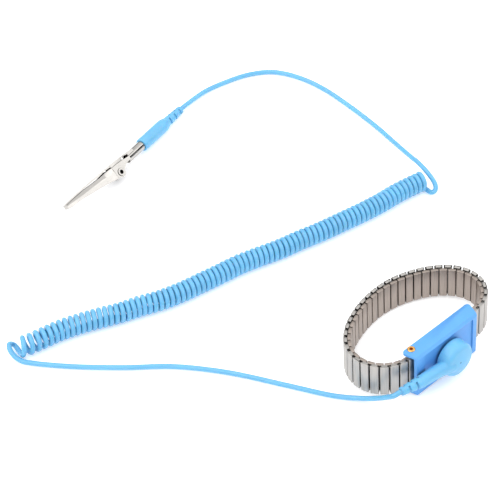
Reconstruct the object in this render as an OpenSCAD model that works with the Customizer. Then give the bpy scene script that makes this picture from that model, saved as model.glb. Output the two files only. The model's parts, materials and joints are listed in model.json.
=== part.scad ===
// ESD wrist strap: an expansion band in a loop, a snap-on coiled cord and a crocodile clip
// on a banana plug. The band stands on edge, tilted until its far side touches the ground.

/* [Housing] */
// Length of the housing along its back, against the wrist
housing_back_len = 44; // [40:1:56]
// Length of the housing along its front
housing_front_len = 40; // [36:1:52]
// Height of the housing across the band
housing_h = 24.5; // [21.5:0.5:32]
// Thickness of the housing from wrist to front
housing_t = 8.3; // [7.7:0.1:10.5]
// Thickness of the housing's front wall
front_wall = 1.8; // [1.4:0.1:2.4]
// Depth of the sunk panel round the stud
panel_depth = 0.8; // [0.4:0.1:1.2]
// Thickness of the skin contact plate
plate_t = 0.6; // [0.4:0.1:1]
// Outer diameter of the hinge eyelet's flange
eyelet_flange_d = 3.8; // [3:0.1:4.2]
// Outer diameter of the hinge eyelet's barrel
eyelet_barrel_d = 2.3; // [1.8:0.1:2.6]

/* [Band] */
// Width of the expansion band
band_w = 18; // [14:0.5:20.5]
// Distance from one link to the next
link_pitch = 4.35; // [4.15:0.05:5.3]
// Gap between neighbouring outer caps
link_gap = 0.3; // [0.25:0.05:0.5]
// Depth of an outer cap
cap_t = 1.75; // [1.5:0.05:2.2]
// Depth of an inner plate
inner_t = 1.55; // [1.3:0.05:2]
// Thickness of the band's sheet metal
sheet_t = 0.3; // [0.2:0.05:0.35]
// How flat the loop lies, in degrees of heading
loop_square = -2.4; // [-6:0.2:4]
// How far the loop leans to one end, in degrees of heading
loop_lean = 3.2; // [-4:0.2:5]
// How far the loop's far corners are drawn in, in degrees of heading
loop_sag = 4; // [-2:0.5:5]

/* [Snap] */
// Diameter of the stud's head
stud_d = 4; // [3.6:0.1:4.4]
// Diameter of the moulded snap head
head_d = 17.5; // [16:0.5:20]
// Height of the snap head at its rim
head_rim_h = 6.9; // [6:0.1:9]
// Extra height of the snap head's dome
dome_h = 1.3; // [0.8:0.1:2]
// Gap between the snap head and the housing's front
head_gap = 0.3; // [0.2:0.05:0.6]

/* [Cord] */
// Diameter of the cord
cord_d = 2.5; // [2:0.1:3]
// Diameter of the wound cord in the coil's body
coil_wire_d = 2; // [1.6:0.1:2]
// Outer diameter of the coil
coil_d = 10.6; // [9:0.2:12]
// Full turns in the coil
coil_turns = 80; // [50:1:84]

/* [Plug] */
// Diameter of the plug's handle
handle_d = 7; // [6.5:0.1:9]
// Length of the plug's handle, without its strain relief
handle_len = 22.4; // [18:0.2:30]
// Length of the plug's strain relief
relief_len = 12.8; // [11:0.2:18]
// Diameter of the banana pin with its cage
banana_d = 4; // [3.6:0.1:4.2]

/* [Clip] */
// Length of the clip from the handle to its tip
clip_len = 62; // [54:0.5:70]
// Width of the clip across its ears
clip_w = 6.6; // [5.6:0.2:8]
// Width of the clip at its tip
clip_tip_w = 3.2; // [2.4:0.2:4.4]
// Outer diameter of the clip's barrel
barrel_d = 5.2; // [5:0.1:6]
// Thickness of the clip's sheet metal
clip_sheet = 0.5; // [0.4:0.05:0.6]
// Outer diameter of the clip's hollow pivot
pivot_d = 3.2; // [2.6:0.1:3.4]

/* [Hidden] */
link_count = 35;
function link_name(k) = str("band_link_", k < 10 ? "0" : "", k);

$fn = 48;
over = 1;                       // how far a cutter runs past the face it opens
seat_gap = 0.05;                // between solids that sit against each other
run_gap = 0.15;                 // between solids that turn or slide on each other

blue_housing = [0.42, 0.65, 0.94];
blue_cord = [0.53, 0.80, 0.97];
steel = [0.72, 0.71, 0.69];
brass = [0.80, 0.60, 0.28];
nickel = [0.80, 0.79, 0.77];

// --- Frame: the band group is drawn upright and then tilted and moved as one ---
back_y = 1.5;
front_y = back_y - housing_t;
band_y = -1;                    // the band's middle layer where it meets the housing
hinge_y = -0.4;
band_z = (housing_h - band_w) / 2;
axis_z = housing_h / 2;
axis_x = 1;                     // the stud sits a little right of the middle

// --- The loop: every link turns by a smooth rule, and the swell closes the loop ---
end_x = housing_back_len / 2 - 0.7;
function unit(a) = [cos(a), sin(a)];
function total(v) = [for (x = v) 1] * v;
function raw_heading(k, swell) =
    let (u = 360 * (k + 0.5) / link_count)
    180 - u - swell * sin(u) - loop_square * sin(2 * u) + loop_lean * (1 - cos(u)) + loop_sag * sin(3 * u);
function raw_span(swell) =
    link_pitch * total([for (k = [0:link_count - 1]) unit(raw_heading(k, swell))]);
function closing_swell(low, high, tries) =
    let (mid = (low + high) / 2)
    tries == 0 ? mid
    : norm(raw_span(mid)) < 2 * end_x ? closing_swell(mid, high, tries - 1)
    : closing_swell(low, mid, tries - 1);
swell = closing_swell(0, 90, 40);
swing = atan2(raw_span(swell)[1], raw_span(swell)[0]);
headings = [for (k = [0:link_count - 1]) raw_heading(k, swell) - swing];
vertices = [
    for (k = 0, p = [-end_x, band_y];
         k <= link_count;
         p = p + link_pitch * unit(headings[min(k, link_count - 1)]), k = k + 1) p
];
loop_far_y = max([for (p = vertices) p[1]]);

layer_gap = 0.3;
cap_len = link_pitch - link_gap;
inner_len = link_pitch - 0.65;
tube_wall = 0.45;
// the left end's tube stands clear of the first inner plate
tube_r = eyelet_barrel_d / 2 + run_gap + tube_wall;
hinge_x = end_x - inner_len / 2 - run_gap - tube_r;
far_y = loop_far_y + layer_gap / 2 + cap_t;
tilt = atan(band_z / (far_y - back_y));
stud_tip_y = front_y + panel_depth - 3.6;
low_y = stud_tip_y * cos(tilt) + axis_z * sin(tilt);
high_y = far_y * cos(tilt) + (band_z + band_w) * sin(tilt);
shift_y = -(low_y + high_y) / 2;
shift_z = back_y * sin(tilt);
// the outer corners of the caps, a little inside their rounding
cap_corners = [
    for (k = [1:link_count], side = [-1, 1])
        let (u = unit(headings[k - 1]), reach = cap_len / 2 - 0.15, out = layer_gap / 2 + cap_t - 0.15)
        (vertices[k - 1] + vertices[k]) / 2 + side * reach * u + out * [-u[1], u[0]]
];
cap_xs = [for (c = cap_corners) c[0]];
shift_x = -(max(cap_xs) + min(cap_xs)) / 2;
echo(loop_width = max(cap_xs) - min(cap_xs), loop_depth = loop_far_y, swell = swell, tilt = tilt,
     shift_x = shift_x, shift_y = shift_y);

module band_frame() {
    translate([shift_x, shift_y, shift_z]) rotate([-tilt, 0, 0]) children();
}
function band_point(p) = [
    p[0] + shift_x,
    p[1] * cos(tilt) + p[2] * sin(tilt) + shift_y,
    -p[1] * sin(tilt) + p[2] * cos(tilt) + shift_z
];
// Z runs out of the housing's front, from the stud's foot
module stud_frame() {
    band_frame() translate([axis_x, front_y, axis_z]) rotate([90, 0, 0]) children();
}

// --- Small shapes ---
// A box whose two edges on the +Y side are rounded, X centred, Z from 0
module capped_box(len, depth, height, r) {
    corner = [for (a = [0:30:90]) r * unit(a)];
    linear_extrude(height) polygon(concat(
        [[-len / 2, 0], [len / 2, 0]],
        [for (c = corner) [len / 2 - r, depth - r] + c],
        [for (k = [3:-1:0]) [-len / 2 + r, depth - r] + [-corner[k][0], corner[k][1]]]
    ));
}
module ring(outer_d, inner_d, height) {
    difference() {
        cylinder(d = outer_d, h = height);
        translate([0, 0, -over]) cylinder(d = inner_d, h = height + 2 * over);
    }
}

// --- Housing ---
lug_t = 1.3;                    // the lugs above and below the band's ends
slot_h = housing_h - 2 * lug_t;
slot_in = housing_back_len / 2 - hinge_x + tube_r + 0.2;
edge_chamfer = 1.1;             // along the front's top edge
plate_margin = 2;
stud_hole_d = 3;
corner_r = 1.8;
panel_left = -14.9;
panel_right = 17.2;
panel_z = 1.5;
panel_top = 1.7;
cavity_half = housing_back_len / 2 - slot_in - 1.4;
cavity_margin = 3.2;
eyelet_flange_t = 0.35;

module housing_outline() {
    b = housing_back_len / 2;
    f = housing_front_len / 2;
    arc = [for (a = [0:22.5:90]) corner_r * unit(a)];
    polygon(concat(
        [[-f + 0.4, front_y], [f - 0.4, front_y], [f, front_y + 0.4]],
        [for (c = arc) [b - corner_r, back_y - corner_r] + c],
        [for (k = [4:-1:0]) [-b + corner_r, back_y - corner_r] + [-arc[k][0], arc[k][1]]],
        [[-f, front_y + 0.4]]
    ));
}
module housing_shell() {
    color(blue_housing) band_frame() difference() {
        linear_extrude(housing_h) housing_outline();
        // sunk front panel
        translate([panel_left, front_y - over, panel_z])
            cube([panel_right - panel_left, over + panel_depth, housing_h - panel_z - panel_top]);
        // inner cavity and the plate's seat
        translate([-cavity_half, front_y + front_wall + panel_depth, cavity_margin])
            cube([2 * cavity_half, housing_t, housing_h - 2 * cavity_margin]);
        translate([-cavity_half - 1, back_y - plate_t, plate_margin])
            cube([2 * cavity_half + 2, plate_t + over, housing_h - 2 * plate_margin]);
        // the slots that take the band's ends
        for (side = [-1, 1])
            translate([side * housing_back_len / 2 - slot_in, front_y + front_wall, lug_t])
                cube([2 * slot_in, housing_t, slot_h]);
        translate([0, front_y, housing_h]) rotate([45, 0, 0])
            cube([2 * housing_back_len, edge_chamfer * sqrt(2), edge_chamfer * sqrt(2)], center = true);
        // hinge holes, the left one through and countersunk below, the right one blind
        translate([-hinge_x, hinge_y, -over])
            cylinder(d = eyelet_barrel_d + 2 * seat_gap, h = housing_h + 2 * over);
        translate([-hinge_x, hinge_y, -over])
            cylinder(d = eyelet_flange_d + 2 * seat_gap, h = over + eyelet_flange_t + seat_gap);
        translate([hinge_x, hinge_y, lug_t - pin_seat])
            cylinder(d = pin_d + 2 * seat_gap, h = slot_h + 2 * pin_seat);
        // hole for the stud's rivet
        translate([axis_x, front_y + 6, axis_z]) rotate([90, 0, 0]) cylinder(d = stud_hole_d, h = 8);
    }
}
module contact_plate() {
    color(steel) band_frame() difference() {
        half = cavity_half + 1 - seat_gap;
        margin = plate_margin + seat_gap;
        translate([-half, back_y - plate_t + seat_gap, margin])
            cube([2 * half, plate_t - seat_gap, housing_h - 2 * margin]);
        translate([axis_x, back_y + over, axis_z]) rotate([90, 0, 0])
            cylinder(d = stud_hole_d, h = plate_t + 2 * over);
    }
}
// The stud's foot lies on the sunk panel, its neck and ball stand out of it
module snap_stud() {
    foot = [[stud_hole_d / 2, 0], [3.6, 0], [3.6, 0.35], [1.6, 0.5]];
    ball = [for (a = [-35:14:63]) [stud_d / 2 * cos(a), 2.25 + 1.15 * sin(a)]];
    color(nickel) stud_frame() translate([0, 0, -panel_depth + seat_gap]) difference() {
        rotate_extrude() polygon(concat([[0.7, 0]], foot, [[1.5, 1.2]], ball, [[0.7, 3.4]]));
        translate([0, 0, -over]) cylinder(d = 1.5, h = 6);
    }
}
// Hollow rivet from the skin contact plate to the stud
module stud_eyelet() {
    depth = housing_t - panel_depth;
    color(nickel) stud_frame() translate([0, 0, -housing_t]) {
        ring(1.4, 0.8, depth + 3.2);
        ring(stud_hole_d - 0.2, 0.8, depth - 0.1);
        translate([0, 0, plate_t + seat_gap]) ring(5.2, 0.8, 0.5);
    }
}
module hinge_eyelet_left() {
    color(brass) band_frame() translate([-hinge_x, hinge_y, 0]) difference() {
        union() {
            cylinder(d = eyelet_barrel_d, h = housing_h);
            cylinder(d = eyelet_flange_d, h = eyelet_flange_t);
            translate([0, 0, housing_h + seat_gap]) rotate_extrude()
                polygon([[0, 0], [eyelet_flange_d / 2, 0], [eyelet_flange_d / 2, 0.12],
                         [eyelet_flange_d / 2 - 0.3, eyelet_flange_t], [0, eyelet_flange_t]]);
            cylinder(d = eyelet_barrel_d, h = housing_h + eyelet_flange_t);
        }
        translate([0, 0, -over]) cylinder(d = eyelet_barrel_d - 0.7, h = housing_h + 3);
    }
}
pin_d = 1.8;
pin_seat = 0.9;
module hinge_pin_right() {
    color(steel) band_frame()
        translate([hinge_x, hinge_y, lug_t - pin_seat + seat_gap])
            cylinder(d = pin_d, h = slot_h + 2 * (pin_seat - seat_gap));
}

// --- Band links. Local X runs along the band, +Y outward, Z across the band ---
inner_inset = 0.5;              // the inner plates are this much shorter at each edge
staple_w = 0.4;
staple_leg = 4.6;
staple_in_x = 1.1;
staple_out_x = 1.7;
staple_z = inner_inset + sheet_t + seat_gap;
leaf_t = 0.15;

module outer_cap() {
    translate([0, layer_gap / 2, 0]) difference() {
        capped_box(cap_len, cap_t, band_w, 0.5);
        translate([-cap_len / 2 + sheet_t, -over, sheet_t])
            cube([cap_len - 2 * sheet_t, cap_t - sheet_t + over, band_w - 2 * sheet_t]);
        // notches that let the last link's staples slide out
        for (z = [staple_z, band_w - staple_z - staple_w])
            translate([-cap_len, -over, z - run_gap]) cube([cap_len, over + 0.65, staple_w + 2 * run_gap]);
    }
}
module inner_plate() {
    translate([0, -layer_gap / 2, inner_inset]) mirror([0, 1, 0]) difference() {
        capped_box(inner_len, inner_t, band_w - 2 * inner_inset, 0.35);
        translate([-inner_len / 2 + sheet_t, -over, sheet_t])
            cube([inner_len - 2 * sheet_t, inner_t - sheet_t + over, band_w - 2 * (inner_inset + sheet_t)]);
    }
}
// A staple has one leg in the inner plate and one in an outer cap, joined by a back at the edge
module staple(in_x, out_x) {
    h = staple_w / 2;
    low = -layer_gap / 2 - inner_t + sheet_t + seat_gap;
    high = layer_gap / 2 + cap_t - sheet_t - 0.35;
    for (top = [0, 1]) translate([0, 0, top * band_w]) mirror([0, 0, top]) {
        translate([0, 0, staple_z]) linear_extrude(staple_w) polygon([
            [in_x - h, low], [in_x + h, low], [in_x + h, 0], [out_x + h, 0.5],
            [out_x + h, high], [out_x - h, high], [out_x - h, 0.6], [in_x - h, 0.2]
        ]);
        translate([in_x - h, low, staple_z]) cube([staple_w, staple_w, staple_leg]);
        translate([out_x - h, high - staple_w, staple_z]) cube([staple_w, staple_w, staple_leg]);
    }
}
// A bowed leaf between the staples' legs keeps the links drawn together
module leaf_spring() {
    half = band_w / 2 - inner_inset - sheet_t - 0.6;
    sag = 0.5;
    bow = [for (k = [-4:4]) [k * half / 4, sag * (1 - k * k / 16)]];
    translate([-sag / 2, -layer_gap / 2 - inner_t + sheet_t + seat_gap, band_w / 2])
        rotate([90, 90, 0]) mirror([0, 0, 1]) linear_extrude(0.8) polygon(concat(
            bow, [for (k = [8:-1:0]) bow[k] + [0, leaf_t]]
        ));
}
// Draws in the frame of one outer cap, and of the inner plate that bridges to the next cap
module at_cap(k) {
    mid = (vertices[k - 1] + vertices[k]) / 2;
    band_frame() translate([mid[0], mid[1], band_z]) rotate(headings[k - 1]) children();
}
module at_joint(k) {
    before = k == 0 ? 180 : headings[k - 1];
    after = k == link_count ? -180 : headings[k];
    band_frame() translate([vertices[k][0], vertices[k][1], band_z])
        rotate((before + after) / 2) children();
}
module band_link(k) {
    color(steel) {
        at_cap(k) outer_cap();
        at_joint(k) {
            inner_plate();
            staple(-staple_in_x, -staple_in_x);
            staple(staple_in_x, staple_out_x);
            leaf_spring();
        }
    }
}
// The end caps wrap a tube round their hinge
module end_cap(side, bore_d) {
    cap_x = end_x - link_pitch / 2;
    color(steel) band_frame() translate([0, 0, band_z]) difference() {
        union() {
            translate([side * cap_x, band_y, 0]) rotate(180) outer_cap();
            translate([side * hinge_x, hinge_y, 0]) cylinder(d = bore_d + 2 * tube_wall, h = band_w);
        }
        translate([side * hinge_x, hinge_y, -over]) cylinder(d = bore_d, h = band_w + 2 * over);
    }
}
module band_end_left() {
    end_cap(-1, eyelet_barrel_d + 2 * run_gap);
    color(steel) at_joint(0) {
        inner_plate();
        staple(-staple_in_x, -staple_in_x);
        staple(staple_in_x, staple_out_x);
        leaf_spring();
    }
}
module band_end_right() {
    end_cap(1, pin_d + 2 * run_gap);
}

// --- Snap head: a moulded disc over the stud with a neck to the cord ---
head_base = head_gap;
head_top = head_base + head_rim_h;
head_hollow_d = head_d - 5;
neck_start = [-4, -0.3, 5.4];   // from the stud's foot, Z out of the housing's front
neck_end = [-21.9, 0.6, 3.3];
relief_end = [-33, 0.45, 1];
neck_d = 6.2;
neck_big_d = 7.6;
relief_big_d = 6;
relief_small_d = 4;
relief_slots = 5;

// Puts Z along the line from a to b
module along(a, b) {
    d = b - a;
    translate(a) rotate([0, acos(d[2] / norm(d)), atan2(d[1], d[0])]) children();
}
module strain_relief(a, b, big_d, small_d, bore_d, slots) {
    len = norm(b - a);
    step = len / (slots + 1);
    along(a, b) difference() {
        cylinder(d1 = big_d, d2 = small_d, h = len);
        translate([0, 0, -over]) cylinder(d = bore_d, h = len + 2 * over);
        for (k = [1:slots]) {
            d = big_d + (small_d - big_d) * k / (slots + 1);
            translate([0, 0, k * step - 0.4]) difference() {
                cylinder(d = d + 2, h = 0.8);
                translate([0, 0, -over]) cylinder(d = d - 1, h = 0.8 + 2 * over);
                translate([-d, (k % 2 == 0 ? -1 : 1) * (d / 2 + 0.6) - d / 2 - 0.2, -over])
                    cube([2 * d, d + 0.4 - 1.2, 0.8 + 2 * over]);
            }
        }
    }
}
core_d = 1.4;
module snap_head() {
    dome = [for (k = [0:6]) [(head_d / 2 - 1.2) * cos(15 * k), head_top + dome_h * sin(15 * k)]];
    color(blue_cord) stud_frame() {
        difference() {
            union() {
                rotate_extrude() polygon(concat(
                    [[0, head_base], [head_d / 2 - 0.2, head_base], [head_d / 2, head_base + 0.3],
                     [head_d / 2, head_top - 0.8], [head_d / 2 - 0.35, head_top - 0.25]],
                    dome
                ));
                hull() {
                    translate(neck_start) rotate([0, -90, 0]) cylinder(d = neck_big_d, h = 1, $fn = 32);
                    along(neck_end, relief_end) cylinder(d = neck_d, h = 0.6, $fn = 32);
                }
            }
            translate([0, 0, head_base - over]) cylinder(d = head_hollow_d, h = head_rim_h - 0.5 + over);
            along(neck_end, relief_end) translate([0, 0, -16.4]) cylinder(d = core_d, h = 20);
        }
        strain_relief(neck_end, relief_end, relief_big_d, relief_small_d, core_d, relief_slots);
    }
}
module snap_socket() {
    flange_d = head_hollow_d - 2 * seat_gap;
    color(nickel) stud_frame() translate([0, 0, head_base + 0.05]) difference() {
        union() {
            ring(flange_d, 8.2, 0.5);
            ring(8.6, stud_d + 2 * run_gap, 0.35);
            ring(8.6, 7.6, 3.6);
            translate([0, 0, 3.2]) cylinder(d = 8.6, h = 0.4);
        }
    }
}
// Open wire ring that grips the stud's neck
module socket_spring() {
    color(steel) stud_frame() translate([0, 0, head_base + 0.7])
        rotate(30) rotate_extrude(angle = 300) translate([stud_d / 2 + 0.18, 0]) circle(d = 0.4, $fn = 8);
}
resistor_z = 5.1;
module resistor() {
    color([0.45, 0.62, 0.75]) stud_frame() translate([-3.1, 0, resistor_z]) rotate([0, 90, 0]) {
        translate([0, 0, 1]) cylinder(d = 1.9, h = 4.2);
        cylinder(d = 2.1, h = 1.2);
        translate([0, 0, 5]) cylinder(d = 2.1, h = 1.2);
    }
}
module resistor_leads() {
    color(nickel) stud_frame() {
        translate([3.15, 0, resistor_z]) rotate([0, 90, 0]) cylinder(d = 0.5, h = 0.9);
        translate([3.8, 0, resistor_z - 1.1]) cylinder(d = 0.5, h = 1.3);
        translate([-3.15, 0, resistor_z]) rotate([0, -90, 0]) cylinder(d = 0.5, h = 2.4);
    }
}

// The cord's points are given for a band whose housing lies route_y in front of the origin
route_y = 18.5;
lay = [shift_x, shift_y + route_y, 0];

// --- Frame of the plug and clip. Local X runs from the handle's front to the clip's tip ---
clip_origin = [-7.2, 184.3] + [lay[0], lay[1]];
clip_turn = 193.5;
plug_shoulder = 3.5;            // the sloping end of the handle, before its strain relief
clip_roll = 43;
pivot = [23.1, 2.6];
ear_r = 2.8;
handle_r = handle_d / 2;
ear_z = clip_w / 2;
pivot_head_t = 0.35;
pivot_head_d = pivot_d + 0.9;
// the handle's rear and the pivot's lower head both touch the ground
ear_low = max(
    (pivot[1] + ear_r) * sin(clip_roll) + ear_z * cos(clip_roll),
    (pivot[1] + pivot_head_d / 2) * sin(clip_roll) + (ear_z + seat_gap + pivot_head_t) * cos(clip_roll)
);
clip_pitch = asin((ear_low - handle_r) / (pivot[0] + handle_len - plug_shoulder));
clip_z = handle_r + (handle_len - plug_shoulder) * sin(clip_pitch);
module clip_frame() {
    translate([clip_origin[0], clip_origin[1], clip_z]) rotate([0, 0, clip_turn])
        rotate([0, -clip_pitch, 0]) rotate([-clip_roll, 0, 0]) children();
}
plug_dir = [cos(clip_turn) * cos(clip_pitch), sin(clip_turn) * cos(clip_pitch), sin(clip_pitch)];
plug_exit = [clip_origin[0], clip_origin[1], clip_z] - (handle_len + relief_len) * plug_dir;

// --- Cords. Each route's points are round numbers, in millimetres ---
function laid(points) = [for (p = points) p + lay];
function along_route(p, t) =            // Catmull-Rom through the points
    let (k = min(floor(t), len(p) - 2), u = t - k,
         a = p[max(k - 1, 0)], b = p[k], c = p[k + 1], d = p[min(k + 2, len(p) - 1)])
    0.5 * (2 * b + (c - a) * u + (2 * a - 5 * b + 4 * c - d) * u * u
           + (3 * b - a - 3 * c + d) * u * u * u);
function samples(p, per_step) =
    [for (k = [0:(len(p) - 1) * per_step]) along_route(p, k / per_step)];
function run_lengths(p) =
    [for (k = 0, s = 0; k < len(p); s = s + norm(p[min(k + 1, len(p) - 1)] - p[k]), k = k + 1) s];
function at_length(p, s, want) = [
    for (axis = [0:len(p[0]) - 1]) lookup(want, [for (k = [0:len(p) - 1]) [s[k], p[k][axis]]])
];
function dir(v) = v / norm(v);
// Rings round the centres, each square to the path and turned as little as it can be from the last
function heading_at(c, k) = dir(c[min(k + 1, len(c) - 1)] - c[min(max(k - 1, 0), len(c) - 2)]);
function tube_points(c, d, sides) = [
    for (k = 0, t = heading_at(c, 0), side = dir(cross(t, [0.1, 0.2, 1]));
         k < len(c);
         k = k + 1, t = heading_at(c, k), side = dir(side - (side * t) * t))
        let (up = cross(side, t))
        for (j = [0:sides - 1])
            let (a = 360 * (j + 0.5) / sides)
            c[k] + d / 2 * (cos(a) * side + sin(a) * up)
];
function tube_faces(rings, sides) = concat(
    [for (k = [0:rings - 2], j = [0:sides - 1])
        let (a = k * sides + j, b = k * sides + (j + 1) % sides)
        each [[a, b, b + sides], [a, b + sides, a + sides]]],
    [[for (j = [sides - 1:-1:0]) j]],
    [[for (j = [0:sides - 1]) (rings - 1) * sides + j]]
);
module tube(c, d, sides) {
    polyhedron(tube_points(c, d, sides), tube_faces(len(c), sides));
}
cord_sides = 8;
module cord_run(route, straight_in, straight_out) {
    tube(concat([straight_in], samples(route, 2), [straight_out]), cord_d, cord_sides);
}

// --- Coil: a left-hand helix round its own middle line ---
coil_line = [
    [-140, 120.5], [-135, 118.5], [-128, 117], [-118, 115], [-109, 112], [-99, 108], [-90, 104],
    [-81, 101], [-71, 97], [-60, 94], [-49, 92], [-38, 90], [-27, 88.2], [-16, 85.2], [-5, 82],
    [5, 80], [17, 77], [29, 74.7], [40, 72.6], [52, 70.8], [66, 69.6], [80.2, 67.1]
];
rings_per_turn = 8;
coil_sides = 6;
coil_r = coil_d / 2 - cord_d / 2;
coil_z = coil_d / 2;
open_extra = 3.6;               // the first turns at the left are drawn apart by this much in all
open_turns = 2.5;
coil_lead = 1.6;                // where the first turn starts on the middle line
coil_start = 270;               // phase from the near side, upward over the top
coil_phases = 360 * coil_turns;
coil_samples = samples([for (p = coil_line) p + [lay[0], lay[1]]], 6);
coil_lengths = run_lengths(coil_samples);
coil_len = coil_lengths[len(coil_lengths) - 1] - coil_lead;
function coil_s(turn) =
    coil_lead + open_extra * (1 - exp(-turn / open_turns))
    + (coil_len - open_extra) * turn * 360 / coil_phases;
function coil_point(phase) =
    let (s = coil_s(phase / 360),
         c = at_length(coil_samples, coil_lengths, s),
         t = dir(at_length(coil_samples, coil_lengths, s + 3)
                 - at_length(coil_samples, coil_lengths, s - 3)),
         near = [t[1], -t[0]],
         a = coil_start + phase)
    [c[0] + coil_r * cos(a) * near[0], c[1] + coil_r * cos(a) * near[1], coil_z + coil_r * sin(a)];
coil_rings = floor(coil_phases * rings_per_turn / 360);
coil_body = [for (k = [0:coil_rings]) coil_point(k * 360 / rings_per_turn)];
coil_in = dir(coil_point(5) - coil_point(-5));
coil_out = dir(coil_point(coil_phases + 5) - coil_point(coil_phases - 5));
coil_path = concat(
    [coil_body[0] - coil_wire_d * coil_in], coil_body, [coil_body[coil_rings] + coil_wire_d * coil_out]
);
coil_gap = min([
    for (k = [0:coil_rings - 10], j = [5:min(12, coil_rings - k)]) norm(coil_body[k] - coil_body[k + j])
]) - coil_wire_d;
echo(coil_gap = coil_gap, coil_length = coil_len, coil_first = coil_path[0], coil_in = coil_in,
     coil_last = coil_path[coil_rings + 2], coil_out = coil_out);

module cord_coil() {
    color(blue_cord) tube(coil_path, coil_wire_d, coil_sides);
}

function stud_point(p) = band_point([axis_x + p[0], front_y - p[2], axis_z + p[1]]);
head_exit = stud_point(relief_end);
head_exit_dir = head_exit - stud_point(neck_end);
cord_z = cord_d / 2 + seat_gap;
lower_route = concat(
    [head_exit + cord_d / 2 * dir(head_exit_dir)],
    laid([
        [-35.6, -24.2, 12.5], [-36.8, -21.6, 10.3], [-37.9, -17.8, 7.1], [-39.7, -13.4, 4.3],
        [-42.4, -8.2, 2.2],
        [-46.5, -2.4, cord_z], [-51.5, 4.8, cord_z], [-61, 21, cord_z],
        [-75, 44, cord_z], [-91, 64, cord_z], [-108, 79, cord_z], [-123, 93.5, cord_z],
        [-132.8, 104.2, cord_z], [-138.4, 111, cord_z], [-141.2, 115, 1.5], [-142.4, 118.8, 2.6],
        [-142.2, 122.6, 4.1], [-140.3, 125.3, 4.2], [-138, 125.1, 2.1]
    ]),
    [coil_path[0] - cord_d / 2 * coil_in]
);
module cord_lower() {
    color(blue_cord) cord_run(lower_route, head_exit, coil_path[0]);
}
upper_route = concat(
    [coil_path[coil_rings + 2] + cord_d / 2 * coil_out],
    laid([
        [80, 60.9, 1.5], [81.3, 59.9, 2.3], [82.8, 60.6, 3.6], [83.7, 63.1, 5.4], [84, 67, 7.3],
        [84.4, 71.8, 8.6], [85.2, 76.5, 8.6], [86.3, 81, 7.4], [89.2, 90.5, 4.6], [92, 101.5, 2.4], [94, 113, 1.4],
        [95, 132, cord_z], [94.5, 153, cord_z], [91, 169, cord_z], [84, 181.5, cord_z],
        [73, 189, cord_z], [60, 193, cord_z], [46, 195, 1.5]
    ]),
    [plug_exit - cord_d * plug_dir]
);
module cord_upper() {
    color(blue_cord) cord_run(upper_route, coil_path[coil_rings + 2], plug_exit);
}

// --- Plug ---
module plug_handle() {
    color(blue_cord) clip_frame() {
        difference() {
            rotate([0, -90, 0]) rotate_extrude() polygon([
                [0, 0], [handle_r - 0.4, 0], [handle_r, 0.4], [handle_r, handle_len - plug_shoulder],
                [handle_r - 0.9, handle_len], [0, handle_len]
            ]);
            translate([-12, 0, 0]) rotate([0, 90, 0]) cylinder(d = banana_shank_d + 2 * seat_gap, h = 13);
            translate([-handle_len - over, 0, 0]) rotate([0, 90, 0]) cylinder(d = core_d, h = handle_len);
        }
        strain_relief([-handle_len, 0, 0], [-handle_len - relief_len, 0, 0], 5.2, 4.2, core_d, relief_slots);
    }
}
banana_shank_d = 3;
banana_reach = 13;              // how far the pin runs into the clip's barrel
module banana_pin() {
    color(nickel) clip_frame() rotate([0, 90, 0]) {
        translate([0, 0, -12]) cylinder(d = banana_shank_d, h = 12 + 1.2);
        translate([0, 0, 1]) cylinder(d = 2.2, h = banana_reach - 2);
        translate([0, 0, banana_reach - 1.4]) cylinder(d1 = banana_shank_d, d2 = 1.4, h = 1.6);
    }
}
// Bowed leaves round the pin that spring out against the barrel
module banana_spring() {
    bow = [for (k = [0:4]) [2.2 / 2 + 0.1 + (banana_d / 2 - 1.3) * sin(45 * k), 1.7 + k * 2.25]];
    color(steel) clip_frame() rotate([0, 90, 0]) difference() {
        rotate_extrude($fn = 24) polygon(concat(bow, [for (k = [4:-1:0]) bow[k] + [0.15, 0]]));
        for (a = [45, 135]) rotate(a) translate([-banana_d, -0.25, 3.4]) cube([2 * banana_d, 0.5, 5.6]);
    }
}

barrel_len = 12.4;
barrel_wall = 0.45;
barrel_front = 0.4;             // where the barrel starts, ahead of the handle
inner_ear_z = ear_z - clip_sheet - run_gap;
// Every jaw point ahead of the ears moves with the clip's length
jaw_x0 = 25.5;
jaw_x1 = 62;
function jaw_x(x) = x <= jaw_x0 ? x : jaw_x0 + (x - jaw_x0) * (clip_len - jaw_x0) / (jaw_x1 - jaw_x0);
function half_w(x) = lookup(x, [[25, clip_w / 2], [61, clip_tip_w / 2]]);
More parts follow.
